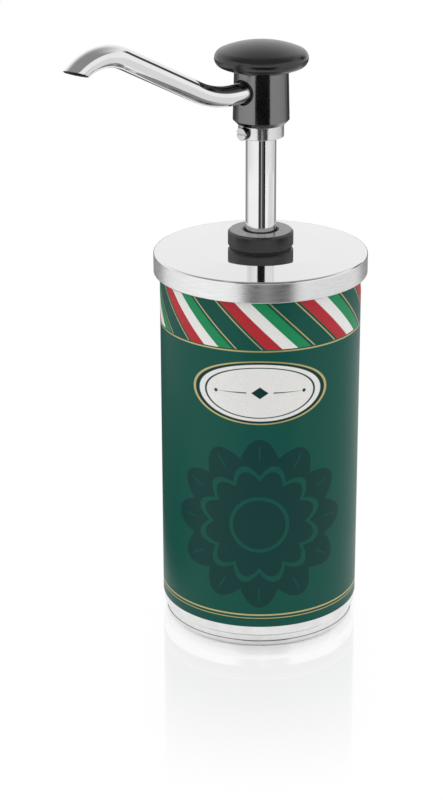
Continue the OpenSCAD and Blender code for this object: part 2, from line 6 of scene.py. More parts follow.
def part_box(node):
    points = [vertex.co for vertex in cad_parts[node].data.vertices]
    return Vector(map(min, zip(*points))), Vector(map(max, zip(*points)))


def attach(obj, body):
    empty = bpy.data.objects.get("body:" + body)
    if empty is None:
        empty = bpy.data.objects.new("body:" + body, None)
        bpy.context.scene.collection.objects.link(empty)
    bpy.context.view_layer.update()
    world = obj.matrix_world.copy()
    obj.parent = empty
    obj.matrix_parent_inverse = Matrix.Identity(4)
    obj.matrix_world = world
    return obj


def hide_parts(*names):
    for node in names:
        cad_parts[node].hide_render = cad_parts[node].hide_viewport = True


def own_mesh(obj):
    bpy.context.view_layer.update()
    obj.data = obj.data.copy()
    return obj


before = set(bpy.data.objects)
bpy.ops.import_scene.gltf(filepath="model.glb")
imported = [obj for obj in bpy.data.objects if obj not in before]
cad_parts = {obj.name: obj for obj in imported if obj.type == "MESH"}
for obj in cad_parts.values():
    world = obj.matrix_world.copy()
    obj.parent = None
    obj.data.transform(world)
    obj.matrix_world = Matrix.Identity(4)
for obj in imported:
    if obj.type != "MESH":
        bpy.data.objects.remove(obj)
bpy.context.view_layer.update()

mm = 0.001
weldGap = 0.002 * mm
fullTurn = 2 * math.pi
print("frame loaded:", len(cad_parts), "nodes")


# Working in edit mode

def clearSelection():
    if bpy.context.mode != "OBJECT":
        bpy.ops.object.mode_set(mode="OBJECT")
    bpy.ops.object.select_all(action="DESELECT")


def activate(piece):
    clearSelection()
    piece.select_set(True)
    bpy.context.view_layer.objects.active = piece


def applyPlace(piece):
    activate(piece)
    bpy.ops.object.transform_apply(location=True, rotation=True, scale=True)


def pickPoints(piece, test):
    # leaves edit mode open with the points that pass the test selected
    activate(piece)
    bpy.ops.object.mode_set(mode="EDIT")
    bpy.ops.mesh.select_mode(type="VERT")
    bpy.ops.mesh.select_all(action="DESELECT")
    bpy.ops.object.mode_set(mode="OBJECT")
    for point in piece.data.vertices:
        point.select = test(point.co)
    bpy.ops.object.mode_set(mode="EDIT")


def addModifier(piece, kind, settings):
    activate(piece)
    bpy.ops.object.modifier_add(type=kind)
    modifier = piece.modifiers[-1]
    for name, value in settings.items():
        setattr(modifier, name, value)
    bpy.ops.object.modifier_apply(modifier=modifier.name)


def roundEdges(piece, width, segments=3, angle=40):
    addModifier(piece, "BEVEL", {
        "width": width, "segments": segments, "limit_method": "ANGLE", "angle_limit": math.radians(angle)})


def cutAway(piece, cutter):
    addModifier(piece, "BOOLEAN", {"operation": "DIFFERENCE", "solver": "EXACT", "object": cutter})
    bpy.data.objects.remove(cutter)


def arcPoints(x, z, radius, start, end, count):
    turns = [math.radians(start + (end - start) * i / count) for i in range(count + 1)]
    return [(x + radius * math.cos(a), z + radius * math.sin(a)) for a in turns]


def turnOutline(name, outline, steps=128, closed=True):
    # one point is extruded along the half section, which is then spun round the upright axis
    clearSelection()
    x, z = outline[0]
    bpy.ops.mesh.primitive_plane_add(size=mm, location=(x, 0, z))
    piece = bpy.context.object
    piece.name = piece.data.name = name
    applyPlace(piece)
    bpy.ops.object.mode_set(mode="EDIT")
    bpy.ops.mesh.select_all(action="SELECT")
    bpy.ops.mesh.merge(type="CENTER")
    ends = outline[1:] + outline[:1] if closed else outline[1:]
    for start, end in zip(outline, ends):
        step = (end[0] - start[0], 0, end[1] - start[1])
        bpy.ops.mesh.extrude_vertices_move(TRANSFORM_OT_translate={"value": step})
    bpy.ops.mesh.select_all(action="SELECT")
    bpy.ops.mesh.spin(steps=steps, angle=fullTurn, center=(0, 0, 0), axis=(0, 0, 1))
    bpy.ops.mesh.select_all(action="SELECT")
    bpy.ops.mesh.remove_doubles(threshold=weldGap)
    bpy.ops.mesh.normals_make_consistent(inside=False)
    bpy.ops.object.mode_set(mode="OBJECT")
    return piece


def span(node):
    low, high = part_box(node)
    return high.x, low.z, high.z


def hand(piece, body, finish, nodes, smoothAngle=38):
    # smooths the piece, paints it and hands it to the body that carries it
    activate(piece)
    bpy.ops.object.shade_smooth_by_angle(angle=math.radians(smoothAngle))
    addModifier(piece, "WEIGHTED_NORMAL", {"weight": 60, "keep_sharp": True})
    if finish.name not in piece.data.materials:
        piece.data.materials.clear()
        piece.data.materials.append(finish)
    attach(piece, body)
    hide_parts(*nodes)
    print("made", piece.name, len(piece.data.polygons), "faces")


# Shader sums: a wire is a socket that takes part in expressions

class Wire:
    def __init__(self, tree, socket=None):
        self.tree = tree
        self.socket = socket

    def add(self, kind, settings, inputs, out=0):
        node = self.tree.nodes.new("ShaderNode" + kind)
        for name, value in settings.items():
            setattr(node, name, value)
        for key, value in inputs.items():
            if isinstance(value, Wire):
                self.tree.links.new(value.socket, node.inputs[key])
            else:
                node.inputs[key].default_value = value
        return Wire(self.tree, node.outputs[out] if node.outputs else None)

    def math(self, operation, *terms):
        return self.add("Math", {"operation": operation}, dict(enumerate(terms)))

    def __add__(self, other):
        return self.math("ADD", self, other)

    def __radd__(self, other):
        return self.math("ADD", other, self)

    def __sub__(self, other):
        return self.math("SUBTRACT", self, other)

    def __rsub__(self, other):
        return self.math("SUBTRACT", other, self)

    def __mul__(self, other):
        return self.math("MULTIPLY", self, other)

    def __rmul__(self, other):
        return self.math("MULTIPLY", other, self)

    def __truediv__(self, other):
        return self.math("DIVIDE", self, other)

    def __pow__(self, other):
        return self.math("POWER", self, other)

    def size(self):
        return self.math("ABSOLUTE", self)

    def above(self, edge, soft):
        return self.add("MapRange", {"interpolation_type": "SMOOTHSTEP"}, {
            "Value": self, "From Min": edge - soft, "From Max": edge + soft})

    def below(self, edge, soft):
        return 1 - self.above(edge, soft)

    def within(self, low, high, soft):
        return self.above(low, soft) * self.below(high, soft)

    def tint(self, under, over):
        # self is the mask: 0 shows under, 1 shows over
        return self.add("Mix", {"data_type": "RGBA"}, {0: self, 6: under, 7: over}, 2)

    def axes(self):
        return [self.add("SeparateXYZ", {}, {0: self}, name) for name in "XYZ"]

    def stretched(self, x, y, z):
        return self.add("Mapping", {}, {"Vector": self, "Scale": (x, y, z)})

    def noise(self, scale, detail=3, roughness=0.55):
        return self.add("TexNoise", {}, {
            "Vector": self, "Scale": scale, "Detail": detail, "Roughness": roughness})

    def bump(self, height, strength, distance):
        return self.add("Bump", {}, {"Strength": strength, "Distance": distance, "Height": height})


def newFinish(name):
    finish = bpy.data.materials.new(name)
    finish.use_nodes = True
    finish.node_tree.nodes.clear()
    return finish, Wire(finish.node_tree).add("TexCoord", {}, {}, "Object")


def closeFinish(place, inputs):
    shader = place.add("BsdfPrincipled", {}, inputs)
    place.add("OutputMaterial", {}, {"Surface": shader})


def grey(value):
    return (value, value, value, 1)


# Finishes

def polishedChrome():
    finish, place = newFinish("polishedChrome")
    smudge = place.noise(70, 4)
    closeFinish(place, {
        "Base Color": smudge.above(0.55, 0.3).tint((0.82, 0.82, 0.83, 1), (0.88, 0.88, 0.89, 1)),
        "Metallic": 1,
        "Roughness": 0.03 + 0.05 * smudge.above(0.6, 0.18),
    })
    return finish


def turnedMetal():
    finish, place = newFinish("turnedMetal")
    turned = place.stretched(0.02, 0.02, 1).noise(3200, 3)
    smudge = place.noise(120, 3)
    closeFinish(place, {
        "Base Color": smudge.above(0.5, 0.3).tint((0.74, 0.74, 0.75, 1), (0.82, 0.82, 0.83, 1)),
        "Metallic": 1,
        "Roughness": 0.13 + 0.1 * turned,
        "Normal": place.bump(turned, 0.1, 0.02 * mm),
    })
    return finish


def lidMetal(lidTop, lidRadius):
    # mirror on top, brushed along the skirt
    finish, place = newFinish("lidMetal")
    x, y, z = place.axes()
    radius = (x * x + y * y) ** 0.5
    skirt = z.below(lidTop - 0.9 * mm, 0.3 * mm) * radius.above(lidRadius - 1.6 * mm, 0.2 * mm)
    brush = place.stretched(0.05, 0.05, 1).noise(2400, 4, 0.7)
    turned = place.add("CombineXYZ", {}, {0: x * 20, 1: y * 20, 2: radius * 5200}).noise(1, 2)
    smudge = place.noise(45, 4)
    brushed = brush.above(0.5, 0.2).tint((0.78, 0.78, 0.785, 1), (0.92, 0.92, 0.925, 1))
    grain = skirt * brush + (1 - skirt) * turned * 0.05
    closeFinish(place, {
        "Base Color": skirt.tint((0.855, 0.855, 0.86, 1), brushed),
        "Metallic": 1,
        "Roughness": 0.05 + 0.05 * smudge.above(0.6, 0.2) + skirt * (0.14 + 0.2 * brush),
        "Normal": place.bump(grain, 0.14, 0.03 * mm),
    })
    return finish


def tinPlate(inside, low, high, creaseShadeLow, creaseShadeHigh):
    # painted shade: a dark band in the crease above the seam; pale lacquer inside
    finish, place = newFinish("tinPlate")
    x, y, z = place.axes()
    # painted shade: near-black band where the tin turns in above the seam
    creaseShade = 0.6 * z.within(creaseShadeLow, creaseShadeHigh, 0.12 * mm)
    lacquer = ((x * x + y * y) ** 0.5).below(inside, 0.1 * mm) * z.within(low, high, 0.3 * mm)
    rolled = place.stretched(0.02, 0.02, 1).noise(2400, 3)
    cloud = place.noise(130, 4)
    bareTin = cloud.above(0.5, 0.25).tint((0.72, 0.715, 0.71, 1), (0.80, 0.80, 0.805, 1))
    outside = creaseShade.tint(bareTin, (0.02, 0.02, 0.02, 1))
    closeFinish(place, {
        "Base Color": lacquer.tint(outside, (0.60, 0.58, 0.53, 1)),
        "Metallic": 1 - 0.8 * lacquer,
        "Roughness": 0.1 + 0.08 * cloud + 0.05 * rolled + 0.3 * lacquer,
        "Normal": place.bump(rolled, 0.1, 0.02 * mm),
    })
    return finish


def blackPlastic(name, rough, ior):
    finish, place = newFinish(name)
    cloud = place.noise(160, 4)
    closeFinish(place, {
        "Base Color": cloud.above(0.5, 0.3).tint((0.002, 0.002, 0.0022, 1), (0.004, 0.004, 0.0045, 1)),
        "Roughness": rough + 0.08 * cloud,
        "IOR": ior,
    })
    return finish


def nutPlastic(nutTop, dullOut):
    # black sides; the top painted grey as a painted sheen, but for a dull ring round the plunger
    finish, place = newFinish("nutPlastic")
    x, y, z = place.axes()
    dull = ((x * x + y * y) ** 0.5).below(dullOut, 0.3 * mm)
    # painted sheen: the top face is made lighter grey where it would reflect the bright sky
    paintedTopSheen = z.above(nutTop - 0.1 * mm, 0.05 * mm) * (1 - dull)
    cloud = place.noise(420, 4)
    sheenGrey = cloud.above(0.5, 0.3).tint((0.09, 0.09, 0.088, 1), (0.16, 0.16, 0.157, 1))
    closeFinish(place, {
        "Base Color": paintedTopSheen.tint((0.006, 0.006, 0.0065, 1), sheenGrey),
        "Roughness": 0.22 - 0.13 * paintedTopSheen + 0.4 * dull + 0.06 * cloud,
        "IOR": 1.75,
    })
    return finish


# dull unplated inside of the spout, its colour near black as painted shade inside the tube
def dullShadedBore():
    finish, place = newFinish("dullShadedBore")
    cloud = place.noise(300, 3)
    closeFinish(place, {
        "Base Color": cloud.above(0.5, 0.3).tint((0.03, 0.03, 0.03, 1), (0.06, 0.06, 0.06, 1)),
        "Metallic": 0.6,
        "Roughness": 0.5 + 0.2 * cloud,
    })
    return finish


def sealRubber():
    finish, place = newFinish("sealRubber")
    cloud = place.noise(300, 4)
    closeFinish(place, {
        "Base Color": cloud.above(0.5, 0.3).tint((0.012, 0.012, 0.012, 1), (0.03, 0.03, 0.03, 1)),
        "Roughness": 0.5 + 0.25 * cloud,
        "Normal": place.bump(place.noise(3000, 2), 0.15, 0.05 * mm),
    })
    return finish


def mouldedWhite():
    finish, place = newFinish("mouldedWhite")
    flow = place.stretched(1, 1, 0.15).noise(90, 4)
    closeFinish(place, {
        "Base Color": flow.above(0.5, 0.3).tint((0.78, 0.78, 0.745, 1), (0.86, 0.86, 0.83, 1)),
        "Roughness": 0.34 + 0.14 * flow,
        "Normal": place.bump(place.noise(1500, 3), 0.05, 0.05 * mm),
    })
    return finish


def milkyTube():
    finish, place = newFinish("milkyTube")
    drawn = place.stretched(1, 1, 0.03).noise(700, 3)
    cloud = place.noise(60, 3)
    closeFinish(place, {
        "Base Color": cloud.above(0.5, 0.3).tint((0.70, 0.76, 0.76, 1), (0.82, 0.86, 0.86, 1)),
        "Roughness": 0.22 + 0.14 * drawn,
        "Coat Weight": 0.3,
        "Normal": place.bump(drawn, 0.08, 0.05 * mm),
    })
    return finish


def plainSteel():
    finish, place = newFinish("plainSteel")
    turned = place.noise(900, 4)
    closeFinish(place, {
        "Base Color": turned.above(0.5, 0.3).tint((0.60, 0.60, 0.61, 1), (0.72, 0.72, 0.73, 1)),
        "Metallic": 1,
        "Roughness": 0.14 + 0.14 * turned,
        "Normal": place.bump(turned, 0.06, 0.02 * mm),
    })
    return finish


def screwSteel(way, height, faceOut, shadeOut):
    # slotted face in the steel's colour, painted shade on the side of the head
    finish, place = newFinish("screwSteel")
    x, y, z = place.axes()
    out = x * way[0] + y * way[1]
    across = x * way[1] - y * way[0]
    up = z - height
    # painted shade: the side of the head is darkened outside the slotted face
    side = ((across * across + up * up) ** 0.5).above(shadeOut, 0.05 * mm) * out.below(faceOut, 0.08 * mm)
    turned = place.noise(900, 4)
    bareSteel = turned.above(0.5, 0.3).tint((0.62, 0.62, 0.63, 1), (0.74, 0.74, 0.75, 1))
    closeFinish(place, {
        "Base Color": side.tint(bareSteel, (0.05, 0.05, 0.052, 1)),
        "Metallic": 1,
        "Roughness": 0.14 + 0.14 * turned,
    })
    return finish


def machinedBrass():
    finish, place = newFinish("machinedBrass")
    turned = place.stretched(0.1, 0.1, 1).noise(2600, 3)
    cloud = place.noise(200, 3)
    closeFinish(place, {
        "Base Color": cloud.above(0.5, 0.3).tint((0.62, 0.44, 0.17, 1), (0.78, 0.60, 0.28, 1)),
        "Metallic": 1,
        "Roughness": 0.2 + 0.15 * turned,
        "Normal": place.bump(turned, 0.12, 0.03 * mm),
    })
    return finish


# Print on the wrap: striped frieze under the lid, oval plate, tonal rosette and gold rules.
# Lengths are millimetres along the sheet and up it, ribbon and oval lines are shares.
printLook = {
    "green": (0.002, 0.077, 0.057, 1),
    "deepGreen": (0.001, 0.034, 0.032, 1),
    "leafGreen": (0.01, 0.25, 0.09, 1),
    "red": (0.45, 0.020, 0.030, 1),
    "white": (0.80, 0.79, 0.77, 1),
    "gold": (0.56, 0.46, 0.20, 1),
    "friezeLow": 158, "friezeRule": (156.7, 157.4), "ribbons": 8, "slant": 1.0,
    "ribbonInks": (("red", 0.14, 0.34), ("white", 0.34, 0.54), ("leafGreen", 0.54, 0.72)),
    "firstGold": (0.08, 0.1), "lastGold": (0.76, 0.78),
    "plateZ": 136, "plateHalfWidth": 31, "plateHalfHeight": 14.5,
    "plateLine": (0.865, 0.9), "plateRim": (1, 1.075), "plateGold": (1.075, 1.12),
    "lozengeHalfWidth": 4.2, "lozengeHalfHeight": 3,
    "taperSpan": (6.5, 20), "taperHalf": 0.45, "taperFall": 0.02, "dotAway": 21.8, "dotHalf": 1.1,
    "rosetteZ": 67, "rosetteRadius": 45, "petals": 12, "petalDepth": 0.2,
    "gapRing": (28.8, 31.95), "eyeRing": (13.05, 14.85), "veinRing": (34.2, 41.4), "veinHalf": 1.6,
    "wideRule": (17.5, 18.3), "thinRule": (15.9, 16.3),
    "soft": 0.12,
}


def printedWrap(sheetRadius, look=printLook):
    finish, place = newFinish("printedWrap")
    soft = look["soft"]
    x, y, zMetres = place.axes()
    z = zMetres / mm
    angle = x.math("ARCTAN2", x, 0 - y)
    sheetMm = sheetRadius / mm
    along = angle * sheetMm
    halfAngle = angle - math.pi * (angle / math.pi).math("ROUND", angle / math.pi)
    across = halfAngle * sheetMm          # the front design is printed again at the back

    # slanted ribbons
    period = fullTurn * sheetMm / look["ribbons"]
    phase = (along + z * look["slant"]) / period
    phase = phase.math("FRACT", phase)
    edge = soft / period
    goldPart = phase.within(*look["firstGold"], edge) + phase.within(*look["lastGold"], edge)
    stripes = look["green"]
    for ink, start, end in look["ribbonInks"]:
        stripes = phase.within(start, end, edge).tint(stripes, look[ink])
    frieze = z.above(look["friezeLow"], soft)
    friezeGold = z.within(*look["friezeRule"], soft)

    # tonal rosette
    up = z - look["rosetteZ"]
    far = (across * across + up * up) ** 0.5
    turn = across.math("ARCTAN2", across, up) * (look["petals"] / 2)
    depth = look["petalDepth"]
    outerPetal = turn.math("COSINE", turn).size() * depth + (1 - depth)
    innerPetal = turn.math("SINE", turn).size() * depth + (1 - depth)
    ringOut = (far / outerPetal).below(look["rosetteRadius"], soft)
    ringGap = (far / innerPetal).within(*look["gapRing"], soft)
    eye = far.within(*look["eyeRing"], soft)
    vein = (turn.math("SINE", turn) * far).size().below(look["veinHalf"], 0.3)
    vein = vein * far.within(*look["veinRing"], 0.4)
    rosette = ringOut * (1 - ringGap) * (1 - eye) * (1 - vein)

    # oval plate with its border, a lozenge between two tapered rules and a dot past each
    plateUp = z - look["plateZ"]
    wide, high = look["plateHalfWidth"], look["plateHalfHeight"]
    reach = ((across / wide) * (across / wide) + (plateUp / high) * (plateUp / high)) ** 0.5
    ovalEdge = soft / high
    plate = reach.below(1, ovalEdge)
    plateLine = reach.within(*look["plateLine"], ovalEdge)
    plateRim = reach.within(*look["plateRim"], ovalEdge)
    plateGold = reach.within(*look["plateGold"], ovalEdge)
    side = across.size()
    rise = plateUp.size()
    lozenge = (side / look["lozengeHalfWidth"] + rise / look["lozengeHalfHeight"]).below(1, 0.05)
    rules = (rise - look["taperHalf"] + side * look["taperFall"]).below(0, soft)
    rules = rules * side.within(*look["taperSpan"], soft)
    dots = ((side - look["dotAway"]).size() + rise).below(look["dotHalf"], soft)
    plateInk = plateLine + lozenge + rules + dots

    # gold rules below
    lowGold = z.within(*look["wideRule"], soft) + z.within(*look["thinRule"], soft)

    gold = friezeGold + frieze * goldPart + plateGold * (1 - frieze) + lowGold
    colour = (rosette * 0.85).tint(look["green"], look["deepGreen"])
    colour = frieze.tint(colour, stripes)
    colour = plateRim.tint(colour, look["deepGreen"])
    colour = plate.tint(colour, look["white"])
    colour = (plate * plateInk).tint(colour, look["deepGreen"])
    gold = gold.math("MINIMUM", gold, 1)
    colour = gold.tint(colour, look["gold"])
    grain = place.noise(1800, 2)
    cloud = place.noise(35, 4)
    mottled = (0.16 * grain.above(0.5, 0.35)).tint(colour, look["deepGreen"])
    closeFinish(place, {
        "Base Color": mottled,
        "Metallic": 0.55 * gold,
        "Roughness": 0.3 + 0.1 * cloud + 0.05 * grain,
        "IOR": 1.25,
        "Normal": place.bump(grain, 0.03, 0.02 * mm),
    })
    return finish


chrome = polishedChrome()
turned = turnedMetal()
black = blackPlastic("glossBlack", 0.1, 2.7)
satinBlack = blackPlastic("satinBlack", 0.2, 1.65)
bore = dullShadedBore()
rubber = sealRubber()
white = mouldedWhite()
milky = milkyTube()
steel = plainSteel()
brass = machinedBrass()
print("finishes ready")


# Camera, at the photograph's place
cameraPose = {
    "place": (0, -1.01913, 0.50913), "turn": 1.084, "down": 21.223, "roll": -0.136,
    "lens": 97.93, "sensor": 36, "clipEnd": 50}
clearSelection()
bpy.ops.object.camera_add(location=cameraPose["place"])
camera = bpy.context.object
camera.data.lens = cameraPose["lens"]
camera.data.sensor_width = cameraPose["sensor"]
camera.data.clip_end = cameraPose["clipEnd"]
camera.matrix_world = (
    Matrix.Translation(cameraPose["place"])
    @ Matrix.Rotation(math.radians(cameraPose["turn"]), 4, "Z")
    @ Matrix.Rotation(math.radians(90 - cameraPose["down"]), 4, "X")
    @ Matrix.Rotation(math.radians(cameraPose["roll"]), 4, "Z"))
bpy.context.scene.camera = camera
print("camera set")


# Tin can
# the two crease heights bound a band of painted shade above the seam
canSize = {
    "wall": 0.6 * mm, "curl": 1.4 * mm, "glue": 0.03 * mm, "wrapThick": 0.25 * mm, "wrapEdge": 0.08 * mm,
    "neckTop": 7 * mm, "neckTall": 1.6 * mm, "neckIn": 1.7 * mm, "neckSteps": 12,
    "creaseShadeLow": 2.5 * mm, "creaseShadeHigh": 2.9 * mm, "steps": 192}
wrapRadius, wrapLow, wrapHigh = span("printed_wrap")
rimRadius, canLow, canHigh = span("can_body")
tinRadius = wrapRadius - canSize["wrapThick"] - canSize["glue"]
curlX = rimRadius - canSize["curl"]
curlZ = canHigh - canSize["curl"]
curlEnd = 360 - math.degrees(math.acos((tinRadius - curlX) / canSize["curl"]))


def neckCurve(depth):
    # from the seam up past the step where the tin widens
    curve = [(tinRadius - depth - canSize["neckIn"], canLow)]
    for i in range(canSize["neckSteps"] + 1):
        share = i / canSize["neckSteps"]
        inward = canSize["neckIn"] * (1 + math.cos(math.pi * share)) / 2
        curve.append((tinRadius - depth - inward, canSize["neckTop"] - canSize["neckTall"] * (1 - share)))
    return curve


shellOutline = neckCurve(canSize["wall"]) + [(tinRadius - canSize["wall"], curlZ - canSize["curl"])]
shellOutline += arcPoints(curlX, curlZ, canSize["curl"], 180, curlEnd - 360, 20)
shellOutline += neckCurve(0)[::-1]
tin = tinPlate(
    tinRadius - canSize["wall"] / 2, canSize["neckTop"] + mm, curlZ - 2 * canSize["curl"],
    canSize["creaseShadeLow"], canSize["creaseShadeHigh"])
shell = turnOutline("tinShell", shellOutline, canSize["steps"])
hand(shell, "can", tin, ["can_body"])

baseSize = {
    "seamWide": 2.6 * mm, "seamRound": 0.9 * mm, "panelLow": 1.6 * mm, "panelThick": 0.6 * mm,
    "stepRadius": 34 * mm, "step": 0.5 * mm, "toe": 0.4 * mm, "shoulder": 0.45 * mm}
baseRadius, baseLow, baseHigh = span("can_base")
seamIn = baseRadius - baseSize["seamWide"]
panelTop = baseSize["panelLow"] + baseSize["panelThick"]
stepOut = baseSize["stepRadius"] + baseSize["step"]
baseOutline = [
    (0, baseSize["panelLow"] - baseSize["step"]),
    (baseSize["stepRadius"], baseSize["panelLow"] - baseSize["step"]),
    (stepOut, baseSize["panelLow"]), (seamIn, baseSize["panelLow"]),
    (seamIn, baseSize["toe"]), (seamIn + baseSize["toe"], baseLow)]
baseOutline += arcPoints(
    baseRadius - baseSize["seamRound"], baseSize["seamRound"], baseSize["seamRound"], -90, 0, 10)
baseOutline += arcPoints(
    baseRadius - baseSize["shoulder"], baseHigh - baseSize["shoulder"], baseSize["shoulder"], 0, 90, 5)
baseOutline += [
    (seamIn, baseHigh), (seamIn, panelTop), (stepOut, panelTop),
    (baseSize["stepRadius"], panelTop - baseSize["step"]), (0, panelTop - baseSize["step"])]
base = turnOutline("tinBase", baseOutline, canSize["steps"], closed=False)
hand(base, "can", tin, ["can_base"])

wrapOutline = [
    (wrapRadius - canSize["wrapThick"], wrapLow), (wrapRadius, wrapLow),
    (wrapRadius, wrapHigh), (wrapRadius - canSize["wrapThick"], wrapHigh)]
wrap = turnOutline("wrapSleeve", wrapOutline, canSize["steps"])
roundEdges(wrap, canSize["wrapEdge"], 2)
hand(wrap, "can", printedWrap(wrapRadius), ["printed_wrap"])


# Lid
lidSize = {
    "sheet": 0.8 * mm, "edge": 1.2 * mm, "rise": 1.9 * mm, "level": 32 * mm, "bend": 20 * mm,
    "rim": 0.3 * mm, "skirtDown": 0.4 * mm, "skirtUp": 0.3 * mm, "hole": 12.6 * mm, "steps": 192}
lidRadius, skirtLow, bossTop = span("lid")
lidTop = bossTop - lidSize["rise"]
edgeX = lidRadius - lidSize["edge"]
edgeZ = lidTop - lidSize["edge"]
slopeEnd = edgeX - lidSize["rim"]
slopeTurn = math.atan2(lidSize["rise"], slopeEnd - lidSize["level"])
bendX = lidSize["level"] - lidSize["bend"] * math.tan(slopeTurn / 2)


def bossCurve(depth):
    # bend at the edge of the level middle, then straight down to the rim
    bend = arcPoints(
        bendX, bossTop - depth - lidSize["bend"], lidSize["bend"], 90, 90 - math.degrees(slopeTurn), 12)
    return bend + [(slopeEnd, lidTop - depth)]


lidOutline = [(lidSize["hole"], bossTop)] + bossCurve(0)
lidOutline += arcPoints(edgeX, edgeZ, lidSize["edge"], 90, 0, 8)
lidOutline += [(lidRadius, edgeZ - lidSize["skirtDown"]), (lidRadius, skirtLow + lidSize["skirtUp"])]
footRound = lidSize["sheet"] / 2
lidOutline += arcPoints(lidRadius - footRound, skirtLow + footRound, footRound, 0, -180, 8)
lidOutline += arcPoints(edgeX, edgeZ, lidSize["edge"] - lidSize["sheet"], 0, 90, 4)
lidOutline += bossCurve(lidSize["sheet"])[::-1] + [(lidSize["hole"], bossTop - lidSize["sheet"])]
lid = turnOutline("pressedLid", lidOutline, lidSize["steps"])
hand(lid, "pump", lidMetal(lidTop, lidRadius), ["lid"])


# Seals: washers with softened edges, the lid's one sloped like the lid above it
sealSize = {
    "lid_gasket": 4 * mm, "nut_gasket": 2.6 * mm, "flange_gasket": 2.9 * mm,
    "lidEdge": 1.97 * mm, "soft": 0.25 * mm}
for node in ("lid_gasket", "nut_gasket", "flange_gasket"):
    outer, low, high = span(node)
    inner = outer - sealSize[node]
    outerTop = low + sealSize["lidEdge"] if node == "lid_gasket" else high
    seal = turnOutline(node + ".seal", [(inner, low), (outer, low), (outer, outerTop), (inner, high)])
    roundEdges(seal, sealSize["soft"], 3)
    hand(seal, "pump", rubber, [node])


# Cap nut with its straight ridges
nutSize = {
    "ridges": 100, "ridgeSteps": 8, "depth": 0.35 * mm, "inset": 0.15 * mm, "lowEdge": 0.6 * mm,
    "topRound": 0.9 * mm, "bore": 7.9 * mm, "thread": 12.45 * mm, "plate": 1.8 * mm, "slope": 0.15 * mm,
    "chamfer": 0.25 * mm, "near": 0.01 * mm, "dullWide": 1.1 * mm}
nutRadius, nutLow, nutHigh = span("cap_nut")
rootRadius = nutRadius - nutSize["depth"]
nutEdge = rootRadius - nutSize["inset"]
ridgeLow = nutLow + nutSize["lowEdge"]
ridgeHigh = nutHigh - nutSize["topRound"]
nutOutline = [
    (nutSize["thread"], nutLow), (nutEdge - nutSize["chamfer"], nutLow),
    (nutEdge, nutLow + nutSize["chamfer"]), (nutEdge, ridgeLow - nutSize["slope"]),
    (rootRadius, ridgeLow), (rootRadius, ridgeHigh - nutSize["slope"])]
nutOutline += arcPoints(nutEdge - nutSize["topRound"], ridgeHigh, nutSize["topRound"], 0, 90, 8)
nutOutline += [
    (nutSize["bore"] + nutSize["chamfer"], nutHigh), (nutSize["bore"], nutHigh - nutSize["chamfer"]),
    (nutSize["bore"], nutHigh - nutSize["plate"]), (nutSize["thread"], nutHigh - nutSize["plate"])]
nutSteps = nutSize["ridgeSteps"] * nutSize["ridges"]
nut = turnOutline("capNut", nutOutline, nutSteps)


def atStep(point, step):
    away = abs(math.hypot(point.x, point.y) - rootRadius)
    if away > nutSize["near"] or not ridgeLow - mm < point.z < ridgeHigh:
        return False
    place = round(math.atan2(point.y, point.x) / fullTurn * nutSteps) % nutSize["ridgeSteps"]
    return place in (step, nutSize["ridgeSteps"] - step)


# rounded ridges, from their feet to the crests
for step in range(1, nutSize["ridgeSteps"] // 2 + 1):
    pickPoints(nut, lambda point: atStep(point, step))
    share = (1 - math.cos(fullTurn * step / nutSize["ridgeSteps"])) / 2
    grow = 1 + share * nutSize["depth"] / rootRadius
    bpy.ops.transform.resize(value=(grow, grow, 1), center_override=(0, 0, 0))
nutFinish = nutPlastic(nutHigh, nutSize["bore"] + nutSize["dullWide"])
hand(nut, "cap_nut", nutFinish, ["cap_nut"], 30)


# Plunger tube
postSize = {
    "bore": 5.2 * mm, "spigot": 5.6 * mm, "seat": 3.4 * mm, "shoulder": 182.85 * mm, "seatZ": 185.8 * mm,
    "chamfer": 0.4 * mm, "steps": 96}
postRadius, postLow, postHigh = span("plunger_tube")
postOutline = [
    (postSize["seat"], postLow), (postSize["spigot"] - postSize["chamfer"], postLow),
    (postSize["spigot"], postLow + postSize["chamfer"]), (postSize["spigot"], postSize["shoulder"]),
    (postRadius - postSize["chamfer"], postSize["shoulder"]),
    (postRadius, postSize["shoulder"] + postSize["chamfer"]),
    (postRadius, postHigh), (postSize["bore"], postHigh), (postSize["bore"], postSize["seatZ"]),
    (postSize["seat"], postSize["seatZ"])]
post = turnOutline("plungerTube", postOutline, postSize["steps"])
hand(post, "head", chrome, ["plunger_tube"])


# Spout direction, shared by the screw, the head and the spout
spoutLeft = 43.5    # degrees from the front towards the left
spoutHeading = math.radians(270 - spoutLeft)
spoutWay = (math.cos(spoutHeading), math.sin(spoutHeading), 0)


def layAlongSpout(piece, height):
    # upright work is laid down so that it points the way the spout does
    piece.rotation_euler = (0, math.pi / 2, spoutHeading)
    piece.location = (0, 0, height)
    applyPlace(piece)


# Dose ring and its clamp screw
ringSize = {"bore": 7.45 * mm, "edge": 0.45 * mm, "hole": 1.55 * mm, "steps": 96, "holeSteps": 48}
ringRadius, ringLow, ringHigh = span("dose_ring")
screwZ = (ringLow + ringHigh) / 2
doseRing = turnOutline("doseRing", [
    (ringSize["bore"], ringLow), (ringRadius, ringLow),
    (ringRadius, ringHigh), (ringSize["bore"], ringHigh)], ringSize["steps"])
roundEdges(doseRing, ringSize["edge"], 4)
holeCutter = turnOutline("holeCutter", [
    (0, ringSize["bore"] - mm), (ringSize["hole"], ringSize["bore"] - mm),
    (ringSize["hole"], 2 * ringRadius), (0, 2 * ringRadius)], ringSize["holeSteps"], closed=False)
layAlongSpout(holeCutter, screwZ)
cutAway(doseRing, holeCutter)
hand(doseRing, "dose_ring", turned, ["dose_ring"])

